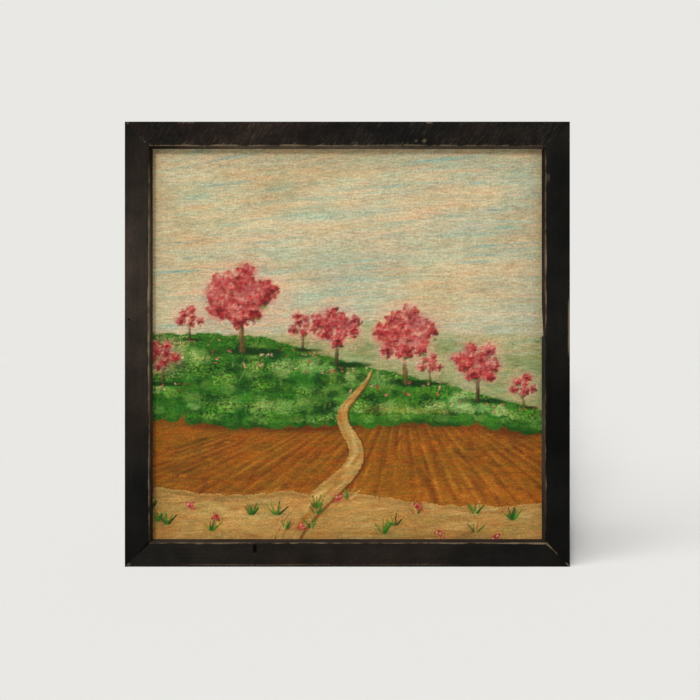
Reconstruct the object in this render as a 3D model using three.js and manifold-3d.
// A square wooden picture frame with a canvas-textured art print, standing on its lower rail.
// Millimetres, +Z up, the picture faces -Y. The origin is the middle of the base's bounding box.
import * as THREE from "three";
import { mergeVertices } from "three/addons/utils/BufferGeometryUtils.js";
import Module from "manifold-3d";

const wasm = await Module();
wasm.setup();

const INCH = 25.4;
const QUARTER_TURN = Math.PI / 2;
const MERGE_DISTANCE = 1e-4;

// Frame rails: nominal one-by-two boards on edge, mitred, with a rabbet cut behind the front lip
const OUTER = 14 * INCH; // outside width and height
const FACE = 0.75 * INCH; // width of a rail seen from the front
const DEPTH = 1.5 * INCH; // front to back
const LIP_DEPTH = 0.5 * INCH; // how far the print lies behind the front of the frame
const RABBET = 0.25 * INCH; // width of the step that the stack bears on
const ARRIS = 0.8; // radius of the worn edges
const ARRIS_SEGMENTS = 3;
const MITRE_GAP = 0.2; // hairline left between two mitred ends

// The stack in the rabbet, front to back: print, mount board, backing board
const PANEL_CLEARANCE = 0.8; // between the stack's edge and the rabbet's wall
const LAYER_GAP = 0.1; // glue or air between two layers
const PRINT_THICKNESS = 0.6;
const MOUNT_THICKNESS = INCH / 8;
const BACKING_THICKNESS = INCH / 8;

// Fits where one piece is let into another, and how far a cutting shape passes the piece that it cuts
const FIT_GAP = 0.3;
const CUT_MARGIN = 1;

// Framing points: flat steel tongues driven into the rabbet's wall
const POINT_WIDTH = 9.5;
const POINT_THICKNESS = 0.6;
const POINT_IN_WOOD = 6;
const POINT_OVER_BOARD = 9.5;
const POINT_TIP = 2.5; // length of the pointed end
const POINT_SPACING = 105;
const POINTS_PER_RAIL = 3;

// V-nails: folded steel strips driven across each mitre from the back
const V_NAIL_THICKNESS = 0.8;
const V_NAIL_LEG = 4.5;
const V_NAIL_HALF_ANGLE = THREE.MathUtils.degToRad(50);
const V_NAIL_LENGTH = 10;
const V_NAIL_SUNK = 0.4; // how far its edge lies below the wood
const V_NAIL_PLACES = [4, 9.8]; // distance of the fold from the outer corner, along the mitre

// Sawtooth hanger: a strip with two feet nailed to the rail and a raised, toothed bridge between them
const HANGER_LENGTH = 44;
const HANGER_HEIGHT = 9.5;
const HANGER_THICKNESS = 0.8;
const HANGER_STANDOFF = 1; // room for a nail head between the bridge and the wood
const HANGER_FOOT = 7;
const HANGER_BEND = 2; // length of each slope from foot to bridge
const HANGER_CORNER = 2.5;
const HANGER_CORNER_SEGMENTS = 6;
const TOOTH_COUNT = 9;
const TOOTH_HEIGHT = 1.7;
const HANGER_NAIL_SHANK = 0.75;
const HANGER_NAIL_HEAD = 1.9;
const HANGER_NAIL_HEAD_THICKNESS = 0.5;
const HANGER_NAIL_RIM = 0.25; // height of the head's straight rim
const HANGER_NAIL_CROWN = 1.15; // radius of the head's flat crown
const HANGER_NAIL_LENGTH = 9;
const HANGER_NAIL_TIP = 1.5;
const HANGER_NAIL_SIDES = 16;

// Felt bumpers on the lower corners of the back
const BUMPER_RADIUS = (3 / 16) * INCH;
const BUMPER_THICKNESS = 2.4;
const BUMPER_EDGE = 0.5;
const BUMPER_HEIGHT = INCH; // height of its centre above the base
const BUMPER_SIDES = 32;

// Sizes that follow from those above
const HALF = OUTER / 2;
const FRONT = -(DEPTH + BUMPER_THICKNESS) / 2;
const BACK = FRONT + DEPTH;
const SHOULDER = FRONT + LIP_DEPTH; // the plane that the print bears on
const WALL = FACE - RABBET; // width of the rail behind the lip
const PANEL = OUTER - 2 * (WALL + PANEL_CLEARANCE);
const MOUNT_FRONT = SHOULDER + LAYER_GAP + PRINT_THICKNESS + LAYER_GAP;
const BACKING_FRONT = MOUNT_FRONT + MOUNT_THICKNESS + LAYER_GAP;
const BACKING_BACK = BACKING_FRONT + BACKING_THICKNESS;
const HANGER_CENTRE_Z = HALF - WALL / 2;
const HANGER_NAIL_X = (HANGER_LENGTH - HANGER_FOOT) / 2;

const X_AXIS = new THREE.Vector3(1, 0, 0);
const Y_AXIS = new THREE.Vector3(0, 1, 0);
const Z_AXIS = new THREE.Vector3(0, 0, 1);

// Turns an extruded outline so that its own axes lie along the three that are named.
function turned(geometry, x, y, z) {
  return geometry.applyMatrix4(new THREE.Matrix4().makeBasis(x, y, z));
}

// The geometry's closed surface as a solid that can be cut and joined, without faces that merging flattened.
function toSolid(geometry) {
  const bare = geometry.index ? geometry.toNonIndexed() : geometry.clone();
  bare.deleteAttribute("normal");
  bare.deleteAttribute("uv");
  const merged = mergeVertices(bare, MERGE_DISTANCE);
  const corners = merged.index.array;
  const kept = [];
  for (let i = 0; i < corners.length; i += 3) {
    const [a, b, c] = corners.subarray(i, i + 3);
    if (a !== b && b !== c && c !== a) {
      kept.push(a, b, c);
    }
  }
  return new wasm.Manifold(
    new wasm.Mesh({
      numProp: 3,
      vertProperties: merged.attributes.position.array,
      triVerts: new Uint32Array(kept),
    }),
  );
}

// A solid's surface as a geometry that a mesh can show.
function toGeometry(solid) {
  const mesh = solid.getMesh();
  const geometry = new THREE.BufferGeometry();
  const positions = new Float32Array(mesh.vertProperties);
  geometry.setAttribute("position", new THREE.BufferAttribute(positions, 3));
  geometry.setIndex(new THREE.BufferAttribute(new Uint32Array(mesh.triVerts), 1));
  const faceted = geometry.toNonIndexed();
  faceted.computeVertexNormals();
  return faceted;
}

// The geometry with every cutter taken away from it.
function cut(geometry, cutters) {
  let solid = toSolid(geometry);
  for (const cutter of cutters) {
    solid = solid.subtract(toSolid(cutter));
  }
  return toGeometry(solid);
}

// Section of a rail: x runs from the front to the back, y from the outer edge inwards.
function railSection() {
  const section = new THREE.Shape();
  section.moveTo(ARRIS, 0);
  section.lineTo(DEPTH - ARRIS, 0);
  section.absarc(DEPTH - ARRIS, ARRIS, ARRIS, -QUARTER_TURN, 0, false);
  section.lineTo(DEPTH, WALL);
  section.lineTo(LIP_DEPTH, WALL);
  section.lineTo(LIP_DEPTH, FACE);
  section.lineTo(ARRIS, FACE);
  section.absarc(ARRIS, FACE - ARRIS, ARRIS, QUARTER_TURN, 2 * QUARTER_TURN, false);
  section.lineTo(0, ARRIS);
  section.absarc(ARRIS, ARRIS, ARRIS, 2 * QUARTER_TURN, 3 * QUARTER_TURN, false);
  return section;
}

// The lower rail about the frame's centre: a short extrusion whose two ends are drawn out to the mitres,
// each vertex less far by its distance from the outer edge.
function railBlank() {
  const geometry = new THREE.ExtrudeGeometry(railSection(), {
    depth: 1,
    steps: 1,
    bevelEnabled: false,
    curveSegments: ARRIS_SEGMENTS,
  });
  turned(geometry, Y_AXIS, Z_AXIS, X_AXIS);
  const position = geometry.attributes.position;
  const backedOff = (MITRE_GAP / 2) * Math.SQRT2;
  for (let i = 0; i < position.count; i += 1) {
    const inwards = position.getZ(i);
    const reach = HALF - inwards - backedOff;
    position.setX(i, position.getX(i) > 0 ? reach : -reach);
    position.setY(i, FRONT + position.getY(i));
    position.setZ(i, inwards - HALF);
  }
  return geometry;
}

// One framing point of the lower rail, or the slot for it when it is given a gap.
function framingPoint(along, gap) {
  const half = POINT_WIDTH / 2 + gap;
  const root = -POINT_IN_WOOD - gap;
  const outline = new THREE.Shape();
  outline.moveTo(-half, root + POINT_TIP);
  outline.lineTo(0, root);
  outline.lineTo(half, root + POINT_TIP);
  outline.lineTo(half, POINT_OVER_BOARD);
  outline.lineTo(-half, POINT_OVER_BOARD);
  outline.closePath();
  const thickness = POINT_THICKNESS + 2 * gap;
  const geometry = new THREE.ExtrudeGeometry(outline, { depth: thickness, bevelEnabled: false });
  turned(geometry, X_AXIS, Z_AXIS, Y_AXIS.clone().negate());
  const back = BACKING_BACK + FIT_GAP + POINT_THICKNESS + gap;
  return geometry.translate(along, back, WALL - HALF);
}

// One V-nail of the lower left corner, or the pocket for it when it is given a gap.
function vNail(fromCorner, gap) {
  const half = V_NAIL_THICKNESS / 2 + gap;
  const leg = V_NAIL_LEG + gap;
  const cos = Math.cos(V_NAIL_HALF_ANGLE);
  const sin = Math.sin(V_NAIL_HALF_ANGLE);
  const fold = half / sin;
  const outline = new THREE.Shape();
  outline.moveTo(-fold, 0);
  outline.lineTo(leg * cos - half * sin, -leg * sin - half * cos);
  outline.lineTo(leg * cos + half * sin, -leg * sin + half * cos);
  outline.lineTo(fold, 0);
  outline.lineTo(leg * cos + half * sin, leg * sin - half * cos);
  outline.lineTo(leg * cos - half * sin, leg * sin + half * cos);
  outline.closePath();
  const sunk = gap > 0 ? -gap : V_NAIL_SUNK;
  const length = V_NAIL_LENGTH + gap + V_NAIL_SUNK - sunk;
  const geometry = new THREE.ExtrudeGeometry(outline, { depth: length, bevelEnabled: false });
  geometry.rotateZ(QUARTER_TURN / 2);
  turned(geometry, X_AXIS, Z_AXIS, Y_AXIS.clone().negate());
  const offset = fromCorner / Math.SQRT2 - HALF;
  return geometry.translate(offset, BACK - sunk, offset);
}

// Where each framing point stands along its rail.
function pointPlaces() {
  const middle = (POINTS_PER_RAIL - 1) / 2;
  return Array.from({ length: POINTS_PER_RAIL }, (_, i) => (i - middle) * POINT_SPACING);
}

// The slots and pockets that every rail has; those of the right end are the left end's, turned.
function railCutters() {
  const slots = pointPlaces().map((along) => framingPoint(along, FIT_GAP));
  const left = V_NAIL_PLACES.map((place) => vNail(place, FIT_GAP));
  const right = V_NAIL_PLACES.map((place) => vNail(place, FIT_GAP).rotateY(-QUARTER_TURN));
  return [...slots, ...left, ...right];
}

// The hanger lies on the frame's back, with x along the rail and z up, about its own centre.
function hangerFace() {
  const half = HANGER_LENGTH / 2;
  const top = HANGER_HEIGHT / 2;
  const bridge = half - HANGER_FOOT - HANGER_BEND;
  const outline = new THREE.Shape();
  outline.moveTo(-half, top - HANGER_CORNER);
  outline.absarc(-half + HANGER_CORNER, top - HANGER_CORNER, HANGER_CORNER, Math.PI, QUARTER_TURN, true);
  outline.absarc(half - HANGER_CORNER, top - HANGER_CORNER, HANGER_CORNER, QUARTER_TURN, 0, true);
  outline.absarc(half - HANGER_CORNER, -top + HANGER_CORNER, HANGER_CORNER, 0, -QUARTER_TURN, true);
  const pitch = (2 * bridge) / TOOTH_COUNT;
  for (let i = 0; i < TOOTH_COUNT; i += 1) {
    outline.lineTo(bridge - i * pitch, -top);
    outline.lineTo(bridge - (i + 0.5) * pitch, -top + TOOTH_HEIGHT);
  }
  outline.lineTo(-bridge, -top);
  outline.absarc(-half + HANGER_CORNER, -top + HANGER_CORNER, HANGER_CORNER, -QUARTER_TURN, -Math.PI, true);
  return outline;
}

// The hanger's strip seen from above: feet on the wood, the bridge stood off it.
function hangerStrip() {
  const half = HANGER_LENGTH / 2;
  const foot = half - HANGER_FOOT;
  const bridge = foot - HANGER_BEND;
  const strip = new THREE.Shape();
  strip.moveTo(-half, 0);
  strip.lineTo(-foot, 0);
  strip.lineTo(-bridge, HANGER_STANDOFF);
  strip.lineTo(bridge, HANGER_STANDOFF);
  strip.lineTo(foot, 0);
  strip.lineTo(half, 0);
  strip.lineTo(half, HANGER_THICKNESS);
  strip.lineTo(foot, HANGER_THICKNESS);
  strip.lineTo(bridge, HANGER_STANDOFF + HANGER_THICKNESS);
  strip.lineTo(-bridge, HANGER_STANDOFF + HANGER_THICKNESS);
  strip.lineTo(-foot, HANGER_THICKNESS);
  strip.lineTo(-half, HANGER_THICKNESS);
  strip.closePath();
  return strip;
}

// The strip trimmed to its face outline and holed for its nails.
function hanger() {
  const tall = HANGER_HEIGHT + 2 * CUT_MARGIN;
  const strip = new THREE.ExtrudeGeometry(hangerStrip(), { depth: tall, bevelEnabled: false });
  strip.translate(0, 0, -tall / 2);
  const deep = HANGER_STANDOFF + HANGER_THICKNESS + 2 * CUT_MARGIN;
  const face = new THREE.ExtrudeGeometry(hangerFace(), {
    depth: deep,
    bevelEnabled: false,
    curveSegments: HANGER_CORNER_SEGMENTS,
  });
  turned(face, X_AXIS, Z_AXIS, Y_AXIS.clone().negate());
  face.translate(0, deep - CUT_MARGIN, 0);
  const plate = toGeometry(toSolid(strip).intersect(toSolid(face)));
  return cut(plate, [nailHole(-HANGER_NAIL_X), nailHole(HANGER_NAIL_X)]);
}

// A round nail with its head outwards along +Y and the head's underside at y = 0.
function hangerNail() {
  const profile = [
    new THREE.Vector2(0, -HANGER_NAIL_LENGTH),
    new THREE.Vector2(HANGER_NAIL_SHANK, HANGER_NAIL_TIP - HANGER_NAIL_LENGTH),
    new THREE.Vector2(HANGER_NAIL_SHANK, 0),
    new THREE.Vector2(HANGER_NAIL_HEAD, 0),
    new THREE.Vector2(HANGER_NAIL_HEAD, HANGER_NAIL_RIM),
    new THREE.Vector2(HANGER_NAIL_CROWN, HANGER_NAIL_HEAD_THICKNESS),
    new THREE.Vector2(0, HANGER_NAIL_HEAD_THICKNESS),
  ];
  return new THREE.LatheGeometry(profile, HANGER_NAIL_SIDES);
}

// The hole for a hanger nail, through the hanger's foot and into the wood, about the hanger's centre.
function nailHole(along) {
  const radius = HANGER_NAIL_SHANK + FIT_GAP;
  const deep = HANGER_NAIL_LENGTH + FIT_GAP;
  const hole = new THREE.CylinderGeometry(radius, radius, 2 * deep, HANGER_NAIL_SIDES);
  return hole.translate(along, 0, 0);
}

// The same two holes in a rail's own frame, where the hanger lies below the centre instead of above it.
function hangerNailHoles() {
  return [-HANGER_NAIL_X, HANGER_NAIL_X].map((x) => nailHole(x).translate(0, BACK, -HANGER_CENTRE_Z));
}

// A felt pad whose back is flat on the wood, and whose outer rim is eased.
function bumper() {
  const profile = [
    new THREE.Vector2(0, 0),
    new THREE.Vector2(BUMPER_RADIUS, 0),
    new THREE.Vector2(BUMPER_RADIUS, BUMPER_THICKNESS - BUMPER_EDGE),
    new THREE.Vector2(BUMPER_RADIUS - BUMPER_EDGE, BUMPER_THICKNESS),
    new THREE.Vector2(0, BUMPER_THICKNESS),
  ];
  return new THREE.LatheGeometry(profile, BUMPER_SIDES);
}

const MATERIALS = {
  blackWood: new THREE.MeshStandardMaterial({ color: 0x25211c, roughness: 0.7 }),
  print: new THREE.MeshStandardMaterial({ color: 0xa0875a, roughness: 0.85 }),
  greyBoard: new THREE.MeshStandardMaterial({ color: 0x8f8879, roughness: 0.95 }),
  hardboard: new THREE.MeshStandardMaterial({ color: 0x6e4c32, roughness: 0.8 }),
  steel: new THREE.MeshStandardMaterial({ color: 0x9d9c99, roughness: 0.35, metalness: 1 }),
  platedSteel: new THREE.MeshStandardMaterial({ color: 0xb59a5c, roughness: 0.3, metalness: 1 }),
  felt: new THREE.MeshStandardMaterial({ color: 0x3a332c, roughness: 1 }),
};

const frame = new THREE.Group();
frame.position.set(0, 0, HALF);

// Adds a named mesh to its group.
function place(parent, name, geometry, material) {
  const mesh = new THREE.Mesh(geometry, material);
  mesh.name = name;
  parent.add(mesh);
  return mesh;
}

// Each side is the lower one turned about the frame's centre.
const SIDES = [
  { name: "bottom", corner: "bottom_left", turn: 0 },
  { name: "left", corner: "top_left", turn: 1 },
  { name: "top", corner: "top_right", turn: 2 },
  { name: "right", corner: "bottom_right", turn: 3 },
];

for (const { name, corner, turn } of SIDES) {
  const side = new THREE.Group();
  side.rotation.y = turn * QUARTER_TURN;
  frame.add(side);
  const cutters = railCutters();
  if (name === "top") {
    cutters.push(...hangerNailHoles());
  }
  place(side, `rail_${name}`, cut(railBlank(), cutters), MATERIALS.blackWood);
  pointPlaces().forEach((along, i) => {
    place(side, `framing_point_${name}_${i + 1}`, framingPoint(along, 0), MATERIALS.steel);
  });
  V_NAIL_PLACES.forEach((fromCorner, i) => {
    place(side, `v_nail_${corner}_${i + 1}`, vNail(fromCorner, 0), MATERIALS.steel);
  });
}

// A flat square layer of the stack, with its front face at the depth that is given.
function layer(name, front, thickness, material) {
  const geometry = new THREE.BoxGeometry(PANEL, thickness, PANEL);
  geometry.translate(0, front + thickness / 2, 0);
  return place(frame, name, geometry, material);
}

layer("print_sheet", SHOULDER + LAYER_GAP, PRINT_THICKNESS, MATERIALS.print);
layer("mount_board", MOUNT_FRONT, MOUNT_THICKNESS, MATERIALS.greyBoard);
layer("backing_board", BACKING_FRONT, BACKING_THICKNESS, MATERIALS.hardboard);

const sawtooth = place(frame, "sawtooth_hanger", hanger(), MATERIALS.platedSteel);
sawtooth.position.set(0, BACK, HANGER_CENTRE_Z);

for (const [name, side] of [["left", -1], ["right", 1]]) {
  const nail = place(frame, `hanger_nail_${name}`, hangerNail(), MATERIALS.platedSteel);
  nail.position.set(side * HANGER_NAIL_X, BACK + HANGER_THICKNESS, HANGER_CENTRE_Z);
  const pad = place(frame, `bumper_${name}`, bumper(), MATERIALS.felt);
  pad.position.set(side * (HALF - WALL / 2), BACK, BUMPER_HEIGHT - HALF);
}

export default frame;
